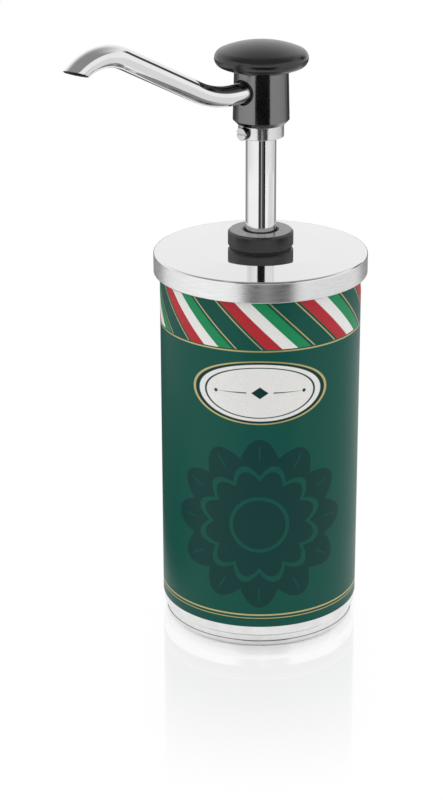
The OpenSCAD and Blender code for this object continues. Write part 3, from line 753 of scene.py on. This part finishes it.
screwSize = {
    "tip": 7.5 * mm, "seat": 11.15 * mm, "top": 14.05 * mm, "shank": 1.5 * mm, "head": 3.05 * mm,
    "crown": 0.35 * mm, "under": 0.15 * mm, "shadeIn": 0.2 * mm, "slotWide": 0.9 * mm, "slotDeep": 1.1 * mm,
    "steps": 64}
screwOutline = [
    (0, screwSize["tip"]), (screwSize["shank"] - screwSize["crown"], screwSize["tip"]),
    (screwSize["shank"], screwSize["tip"] + screwSize["crown"]), (screwSize["shank"], screwSize["seat"])]
screwOutline += arcPoints(
    screwSize["head"] - screwSize["under"], screwSize["seat"] + screwSize["under"],
    screwSize["under"], -90, 0, 3)
screwFace = screwSize["top"] - screwSize["crown"]
screwOutline += arcPoints(screwSize["head"] - screwSize["crown"], screwFace, screwSize["crown"], 0, 90, 5)
screwOutline += [(0, screwSize["top"])]
screw = turnOutline("clampScrew", screwOutline, screwSize["steps"], closed=False)
clearSelection()
bpy.ops.mesh.primitive_cube_add(size=1, location=(0, 0, screwSize["top"]))
slotCutter = bpy.context.object
slotCutter.scale = (screwSize["slotWide"], 3 * screwSize["head"], 2 * screwSize["slotDeep"])
applyPlace(slotCutter)
cutAway(screw, slotCutter)
layAlongSpout(screw, screwZ)
# the last argument sets where the painted shade on the head's side begins
screwFinish = screwSteel(spoutWay, screwZ, screwFace, screwSize["head"] - screwSize["shadeIn"])
hand(screw, "clamp_screw", screwFinish, ["clamp_screw"], 30)


# Pump head
headSize = {
    "top": 13.05 * mm, "chamfer": 2 * mm, "socket": 7.42 * mm, "socketDeep": 12 * mm, "stud": 3.02 * mm,
    "studDeep": 4 * mm, "spoutUp": 16.65 * mm, "way": 4 * mm, "tubeEnd": 5.5 * mm, "tube": 5.02 * mm,
    "recess": 6.15 * mm, "recessDeep": 2.4 * mm, "soft": 0.35 * mm, "waySteps": 80}
headRadius, headLow, headHigh = span("pump_head")
spoutZ = headLow + headSize["spoutUp"]
headOutline = [
    (0, headLow + headSize["socketDeep"]), (headSize["socket"], headLow + headSize["socketDeep"]),
    (headSize["socket"], headLow), (headRadius - headSize["chamfer"], headLow),
    (headRadius, headLow + headSize["chamfer"]), (headSize["top"], headHigh),
    (headSize["stud"], headHigh), (headSize["stud"], headHigh - headSize["studDeep"]),
    (0, headHigh - headSize["studDeep"])]
head = turnOutline("pumpHead", headOutline, closed=False)
recessX = headSize["top"] - headSize["recessDeep"]
wayCutter = turnOutline("wayCutter", [
    (0, 0), (headSize["way"], 0), (headSize["way"], headSize["tubeEnd"]),
    (headSize["tube"], headSize["tubeEnd"]), (headSize["tube"], recessX), (headSize["recess"], recessX),
    (headSize["recess"], 2 * headRadius), (0, 2 * headRadius)], headSize["waySteps"], closed=False)
layAlongSpout(wayCutter, spoutZ)
cutAway(head, wayCutter)
roundEdges(head, headSize["soft"], 3)
hand(head, "head", black, ["pump_head"])


# Knob: spherical crown and underside that run into the rounded edge
knobSize = {
    "edge": 4.2 * mm, "crown": 7.95 * mm, "under": 7.7 * mm, "seat": 6.1 * mm,
    "stud": 3.02 * mm, "bore": 7 * mm}
knobRadius, knobLow = span("knob")[:2]
rimX = knobRadius - knobSize["edge"]
knobZ = knobLow + knobSize["seat"]


def capRadius(rise):
    return (rimX * rimX + rise * rise - knobSize["edge"] ** 2) / (2 * (rise - knobSize["edge"]))


crownRadius = capRadius(knobSize["crown"])
underRadius = capRadius(knobSize["under"])
crownTurn = math.degrees(math.atan2(crownRadius - knobSize["crown"], rimX))
underTurn = math.degrees(math.atan2(knobSize["under"] - underRadius, rimX))
seatTurn = -math.degrees(math.asin((underRadius - knobSize["under"] + knobSize["seat"]) / underRadius))
knobOutline = [
    (0, knobLow + knobSize["bore"]), (knobSize["stud"], knobLow + knobSize["bore"]),
    (knobSize["stud"], knobLow)]
knobOutline += arcPoints(0, knobZ - knobSize["under"] + underRadius, underRadius, seatTurn, underTurn, 10)
knobOutline += arcPoints(rimX, knobZ, knobSize["edge"], underTurn, crownTurn, 24)[1:]
knobOutline += arcPoints(0, knobZ + knobSize["crown"] - crownRadius, crownRadius, crownTurn, 90, 20)[1:]
knob = turnOutline("palmKnob", knobOutline, closed=False)
hand(knob, "head", satinBlack, ["knob"])


# Spout: a ring of points drawn out along the tube, turned round each bend's centre
spoutSize = {
    "radius": 5 * mm, "wall": 1 * mm, "inner": 5.5 * mm, "reach": 19.6 * mm, "lowBend": 53 * mm, "rise": 26.2,
    "arm": 51.2 * mm, "endBend": 28 * mm, "fall": 35.2, "mouth": 68, "mouthRoll": 13, "spare": 8 * mm,
    "edge": 0.25 * mm, "edgeAngle": 50, "sides": 56, "steps": 24}


def along(distance, lift=0):
    return (spoutWay[0] * distance, spoutWay[1] * distance, lift)


def wayAt(turn):
    # direction in the spout's upright plane, by its rise in degrees
    return along(math.cos(math.radians(turn)), math.sin(math.radians(turn)))


def extrudeBy(step):
    bpy.ops.mesh.extrude_region_move(TRANSFORM_OT_translate={"value": step})


def spinRound(centre, turn):
    # a positive turn lifts the tube
    side = (spoutWay[1], -spoutWay[0], 0)
    bpy.ops.mesh.spin(steps=spoutSize["steps"], angle=-math.radians(turn), center=centre, axis=side)


clearSelection()
bpy.ops.mesh.primitive_circle_add(
    vertices=spoutSize["sides"], radius=spoutSize["radius"], location=along(spoutSize["inner"], spoutZ),
    rotation=(0, math.pi / 2, spoutHeading))
spout = bpy.context.object
spout.name = spout.data.name = "bentSpout"
applyPlace(spout)
bpy.ops.object.mode_set(mode="EDIT")
bpy.ops.mesh.select_all(action="SELECT")
extrudeBy(along(spoutSize["reach"] - spoutSize["inner"]))
spinRound(along(spoutSize["reach"], spoutZ + spoutSize["lowBend"]), spoutSize["rise"])
extrudeBy([c * spoutSize["arm"] for c in wayAt(spoutSize["rise"])])
bpy.ops.object.mode_set(mode="OBJECT")
ringEnd = [p.co for p in spout.data.vertices if p.select]
armEnd = sum((p.copy() for p in ringEnd[1:]), ringEnd[0].copy()) / len(ringEnd)
bpy.ops.object.mode_set(mode="EDIT")
downWay = wayAt(spoutSize["rise"] - 90)
endCentre = tuple(p + d * spoutSize["endBend"] for p, d in zip(armEnd, downWay))
spinRound(endCentre, -(spoutSize["rise"] + spoutSize["fall"]))
bendEnd = tuple(c - d * spoutSize["endBend"] for c, d in zip(endCentre, wayAt(-spoutSize["fall"] - 90)))
extrudeBy([c * spoutSize["spare"] for c in wayAt(-spoutSize["fall"])])
bpy.ops.mesh.select_all(action="SELECT")
bpy.ops.mesh.remove_doubles(threshold=weldGap)
bpy.ops.mesh.normals_make_consistent(inside=False)
mouthTurn = Matrix.Rotation(math.radians(spoutSize["mouthRoll"]), 3, Vector(wayAt(-spoutSize["fall"])))
mouthWay = mouthTurn @ Vector(wayAt(-spoutSize["mouth"]))
bpy.ops.mesh.bisect(plane_co=bendEnd, plane_no=mouthWay, clear_outer=True)
bpy.ops.object.mode_set(mode="OBJECT")
spout.data.materials.append(chrome)
# the inside and the cut ends take the dull bore finish with its painted shade
spout.data.materials.append(bore)
addModifier(spout, "SOLIDIFY", {
    "thickness": spoutSize["wall"], "offset": -1, "use_even_offset": True, "material_offset": 1,
    "material_offset_rim": 1})
roundEdges(spout, spoutSize["edge"], 3, spoutSize["edgeAngle"])
hand(spout, "head", chrome, ["spout"], 45)

collarSize = {"section": 0.55 * mm, "gap": 0.02 * mm, "sides": 16, "steps": 80}
collarX = spoutSize["radius"] + collarSize["section"] + collarSize["gap"]
collarZ = recessX + collarSize["section"] + collarSize["gap"]
collarOutline = arcPoints(collarX, collarZ, collarSize["section"], 0, 360, collarSize["sides"])[:-1]
collar = turnOutline("spoutCollar", collarOutline, collarSize["steps"])
layAlongSpout(collar, spoutZ)
hand(collar, "head", rubber, ["spout_ring"])


# Barrel with its neck thread, foot valve and suction tube
barrelSize = {
    "bore": 10.4 * mm, "radius": 12.4 * mm, "flangeLow": 189.45 * mm, "flangeTop": 192.45 * mm,
    "threadDeep": 0.5 * mm, "pitch": 1.5 * mm, "rootLow": 0.4, "rootHigh": 0.6, "threads": 3,
    "soft": 0.12 * mm, "steps": 96}
flangeRadius, barrelLow, neckTop = span("barrel")
barrelOutline = [
    (barrelSize["bore"], barrelLow), (barrelSize["radius"], barrelLow),
    (barrelSize["radius"], barrelSize["flangeLow"]), (flangeRadius, barrelSize["flangeLow"]),
    (flangeRadius, barrelSize["flangeTop"]), (barrelSize["radius"], barrelSize["flangeTop"])]
threadLow = neckTop - barrelSize["pitch"] * barrelSize["threads"]
threadRoot = barrelSize["radius"] - barrelSize["threadDeep"]
for i in range(barrelSize["threads"]):
    crest = threadLow + barrelSize["pitch"] * i
    barrelOutline += [
        (barrelSize["radius"], crest), (threadRoot, crest + barrelSize["rootLow"] * barrelSize["pitch"]),
        (threadRoot, crest + barrelSize["rootHigh"] * barrelSize["pitch"])]
barrelOutline += [
    (barrelSize["radius"] - barrelSize["threadDeep"] / 2, neckTop), (barrelSize["bore"], neckTop)]
barrel = turnOutline("pumpBarrel", barrelOutline, barrelSize["steps"])
roundEdges(barrel, barrelSize["soft"], 2)
hand(barrel, "pump", white, ["barrel"])

valveSize = {
    "plug": 10.38 * mm, "plugLow": 92.1 * mm, "nipple": 4.9 * mm, "nippleTop": 88.1 * mm, "seat": 3.4 * mm,
    "seatZ": 96.1 * mm, "chamber": 6.2 * mm, "soft": 0.3 * mm, "steps": 96}
valveRadius, valveLow, valveHigh = span("foot_valve")
valve = turnOutline("footValve", [
    (valveSize["seat"], valveLow), (valveSize["nipple"], valveLow),
    (valveSize["nipple"], valveSize["nippleTop"]), (valveRadius, valveSize["nippleTop"]),
    (valveRadius, valveSize["plugLow"]), (valveSize["plug"], valveSize["plugLow"]),
    (valveSize["plug"], valveHigh), (valveSize["chamber"], valveHigh),
    (valveSize["chamber"], valveSize["seatZ"]), (valveSize["seat"], valveSize["seatZ"])], valveSize["steps"])
roundEdges(valve, valveSize["soft"], 3)
hand(valve, "pump", white, ["foot_valve"])

hoseSize = {"bore": 4.92 * mm, "slant": 30, "edge": 0.15 * mm, "steps": 64}
hoseRadius, hoseLow, hoseHigh = span("suction_tube")
hose = turnOutline("suctionTube", [
    (hoseSize["bore"], hoseLow - mm), (hoseRadius, hoseLow - mm),
    (hoseRadius, hoseHigh), (hoseSize["bore"], hoseHigh)], hoseSize["steps"])
activate(hose)
bpy.ops.object.mode_set(mode="EDIT")
bpy.ops.mesh.select_all(action="SELECT")
slant = math.radians(hoseSize["slant"])
bpy.ops.mesh.bisect(
    plane_co=(-hoseRadius, 0, hoseLow), plane_no=(math.sin(slant), 0, -math.cos(slant)),
    use_fill=True, clear_outer=True)
bpy.ops.object.mode_set(mode="OBJECT")
roundEdges(hose, hoseSize["edge"], 2)
hand(hose, "pump", milky, ["suction_tube"])


# Return spring: one ring of points screwed up along its helix
springSize = {
    "wire": 0.6 * mm, "radius": 9.18 * mm, "turns": 10, "sides": 12, "turnSteps": 32, "pressed": 45.5 * mm}
springLow, springHigh = (p.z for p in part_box("return_spring"))
clearSelection()
bpy.ops.mesh.primitive_circle_add(
    vertices=springSize["sides"], radius=springSize["wire"],
    location=(springSize["radius"], 0, springLow + springSize["wire"]), rotation=(math.pi / 2, 0, 0))
spring = bpy.context.object
spring.name = spring.data.name = "returnSpring"
applyPlace(spring)
springSteps = springSize["turns"] * springSize["turnSteps"]
addModifier(spring, "SCREW", {
    "axis": "Z", "angle": fullTurn * springSize["turns"], "steps": springSteps, "render_steps": springSteps,
    "screw_offset": springHigh - springLow - 2 * springSize["wire"]})
activate(spring)
bpy.ops.object.mode_set(mode="EDIT")
bpy.ops.mesh.select_all(action="SELECT")
bpy.ops.mesh.remove_doubles(threshold=weldGap)
bpy.ops.mesh.fill_holes(sides=0)
bpy.ops.mesh.select_all(action="SELECT")
bpy.ops.mesh.normals_make_consistent(inside=False)
bpy.ops.object.mode_set(mode="OBJECT")
hand(spring, "pump", steel, ["return_spring"])
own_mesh(spring)


# Inner pieces keep their solids and get a finish
innerFinish = {
    "inlet_ball": steel, "outlet_ball": steel, "knob_stud": steel, "piston_nut": brass,
    "ball_cage": white, "piston": white, "outlet_stop": white, "guide_bush": white,
    "piston_seal": rubber, "wiper_seal": rubber}
for node, finish in innerFinish.items():
    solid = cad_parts[node]
    solid.data.materials.clear()
    solid.data.materials.append(finish)
print("inner pieces painted:", len(innerFinish))


# Studio: white floor, soft boxes at both sides and above, and graded cards that only reflections show
studio = {
    "floor": 10, "floorDrop": 0.1 * mm, "floorColour": 0.93, "nearFloor": 0.046, "farFloor": 0.065,
    "castNarrow": 1.25, "mirrorFloor": 0.145, "mirrorEnd": 0.2, "mirrorWide": 0.056,
    "dimBehind": 0.9, "behindX": (-0.34, -0.085, 0.015), "behindY": (-0.04, 2, 0.04),
    "dimRight": 0.22, "rightX": (0.12, 1.2, 0.05), "rightY": (-0.4, 0.2, 0.05),
    "skyForCamera": 1.0, "skyForGloss": 0.95, "skyForObject": 0.55, "frontSky": 0.3,
    "lowSky": (0.38, 0.12), "backSky": (0.15, 0.2), "highSky": (0.7, 0.3),
    "skyGap": 0.95, "gapAcross": (0.68, 0.9, 0.02), "gapUp": (0.1, 0.45, 0.04),
    "boxAway": 0.78, "boxWide": 1.2, "boxHigh": 0.7, "boxMiddle": 0.37,
    "boxTurns": (-65, 75), "boxPower": (2.55, 2.5), "topUp": 1.25, "topSize": 1.0, "topPower": 8}

# each card: from and to in degrees, foot, top and level
frontCards = (
    (-17, 1, 0, 0.236, 0.05), (1, 9, 0, 0.236, 0.38), (9, 22, 0, 0.236, 0.07), (22, 33, 0, 0.236, 0.01))
headCards = ((-23.5, 34.5, 0.2365, 0.2765, 0.01),)
sideCards = (
    (-120, -103, 0, 0.135, 0.8), (-165, -120, 0, 0.135, 0.3), (113, 125, 0, 0.135, 0.7),
    (125, 165, 0, 0.135, 0.28), (-120, -103, 0.135, 0.2, 0.38), (-165, -120, 0.135, 0.2, 0.15),
    (113, 130, 0.135, 0.2, 0.36), (130, 165, 0.135, 0.2, 0.1), (165, 195, 0, 0.225, 0.05))
boxCards = (
    (-103, -85, 0.02, 0.72, 0.85), (-85, -68, 0.02, 0.72, 0.92), (-68, -50, 0.02, 0.72, 0.97),
    (-50, -27, 0.02, 0.72, 1.0), (37, 60, 0.02, 0.16, 0.88), (60, 82, 0.02, 0.16, 0.86),
    (82, 97, 0.02, 0.16, 0.78), (97, 113, 0.02, 0.16, 0.68), (37, 75, 0.16, 0.72, 0.95),
    (75, 113, 0.16, 0.72, 0.95))
cardAway = {"head": 0.095, "front": 0.3, "side": 0.5, "box": studio["boxAway"]}


def byTurn(turn, away, height):
    # a place round the can, by degrees from the camera's side towards the right
    return (away * math.sin(math.radians(turn)), -away * math.cos(math.radians(turn)), height)


clearSelection()
bpy.ops.mesh.primitive_plane_add(size=studio["floor"], location=(0, 0, -studio["floorDrop"]))
floor = bpy.context.object
floor.name = "floor"
floorFinish, place = newFinish("floorWhite")
cameraRay = place.add("LightPath", {}, {}, "Is Camera Ray")
glossRay = place.add("LightPath", {}, {}, "Is Glossy Ray")
x, y = place.axes()[:2]
wide = x * studio["castNarrow"]
away = (wide * wide + y * y) ** 0.5
cast = away.above(
    (studio["nearFloor"] + studio["farFloor"]) / 2, (studio["farFloor"] - studio["nearFloor"]) / 2)
lit = place.add("BsdfPrincipled", {}, {
    "Base Color": grey(studio["floorColour"]), "Roughness": 0.5 + 0.05 * place.noise(40)})
sheen = place.add("BsdfPrincipled", {}, {
    "Base Color": grey(1), "Metallic": 1, "Roughness": 0.06 + 0.02 * place.noise(40)})
# the spout's underside shows dim parts of the floor, as if the table ended there
dim = studio["dimBehind"] * x.within(*studio["behindX"]) * y.within(*studio["behindY"])
dim = dim + studio["dimRight"] * x.within(*studio["rightX"]) * y.within(*studio["rightY"])
glow = place.add("Emission", {}, {"Color": 1 - glossRay * dim, "Strength": 1})
mixed = place.add("MixShader", {}, {0: cast * (cameraRay + glossRay), 1: lit, 2: glow})
fade = away.below(
    (studio["farFloor"] + studio["mirrorEnd"]) / 2, (studio["mirrorEnd"] - studio["farFloor"]) / 2)
fade = fade * x.size().below(studio["mirrorWide"], 0.008) * y.below(0, 0.02)
mixed = place.add("MixShader", {}, {0: studio["mirrorFloor"] * fade * cameraRay, 1: mixed, 2: sheen})
place.add("OutputMaterial", {}, {"Surface": mixed})
floor.data.materials.append(floorFinish)

# the metal sees a pale sky behind the can and low down, and a dim one above the camera
sky = bpy.data.worlds.new("studioSky")
bpy.context.scene.world = sky
sky.use_nodes = True
sky.node_tree.nodes.clear()
way = Wire(sky.node_tree).add("TexCoord", {}, {}, "Generated")
cameraRay = way.add("LightPath", {}, {}, "Is Camera Ray")
glossRay = way.add("LightPath", {}, {}, "Is Glossy Ray")
x, y, z = way.axes()
low = z.below(*studio["lowSky"])
behind = y.above(*studio["backSky"]) * z.below(*studio["highSky"])
behind = studio["frontSky"] + (1 - studio["frontSky"]) * low.math("MAXIMUM", low, behind)
gap = (x / (x * x + y * y) ** 0.5).within(*studio["gapAcross"])
gap = gap * y.above(0, 0.02) * z.within(*studio["gapUp"])
behind = behind * (1 - studio["skyGap"] * gap)
strength = studio["skyForObject"] + cameraRay * (studio["skyForCamera"] - studio["skyForObject"])
strength = strength + glossRay * (studio["skyForGloss"] * behind - studio["skyForObject"])
shine = way.add("Background", {}, {"Color": strength, "Strength": 1})
way.add("OutputWorld", {}, {"Surface": shine})

for turn, power in zip(studio["boxTurns"], studio["boxPower"]):
    clearSelection()
    bpy.ops.object.light_add(
        type="AREA", location=byTurn(turn, studio["boxAway"], studio["boxMiddle"]),
        rotation=(math.pi / 2, 0, math.radians(turn)))
    softBox = bpy.context.object
    softBox.data.shape = "RECTANGLE"
    softBox.data.size, softBox.data.size_y = studio["boxWide"], studio["boxHigh"]
    softBox.data.energy = power
    softBox.visible_camera = softBox.visible_glossy = False
clearSelection()
bpy.ops.object.light_add(type="AREA", location=(0, 0, studio["topUp"]))
topBox = bpy.context.object
topBox.data.size = studio["topSize"]
topBox.data.energy = studio["topPower"]
topBox.visible_camera = topBox.visible_glossy = False


def addCard(name, turn, away, height, wide, tall, level):
    clearSelection()
    bpy.ops.mesh.primitive_plane_add(
        size=1, location=byTurn(turn, away, height), rotation=(math.pi / 2, 0, math.radians(turn)))
    card = bpy.context.object
    card.name = name
    card.scale = (wide, tall, 1)
    applyPlace(card)
    finish, place = newFinish(name + ".cloth")
    glow = place.add("Emission", {}, {"Color": grey(1), "Strength": level})
    place.add("OutputMaterial", {}, {"Surface": glow})
    card.data.materials.append(finish)
    card.visible_camera = card.visible_diffuse = card.visible_shadow = card.visible_transmission = False


def standCards(name, cards, away):
    for i, (start, end, foot, top, level) in enumerate(cards):
        wide = 2 * away * math.tan(math.radians(end - start) / 2)
        addCard(name + str(i), (start + end) / 2, away, (foot + top) / 2, wide, top - foot, level)


standCards("headCard", headCards, cardAway["head"])
standCards("frontCard", frontCards, cardAway["front"])
standCards("sideCard", sideCards, cardAway["side"])
standCards("boxCard", boxCards, cardAway["box"])
bpy.context.scene.view_settings.view_transform = "Standard"
print("studio set")
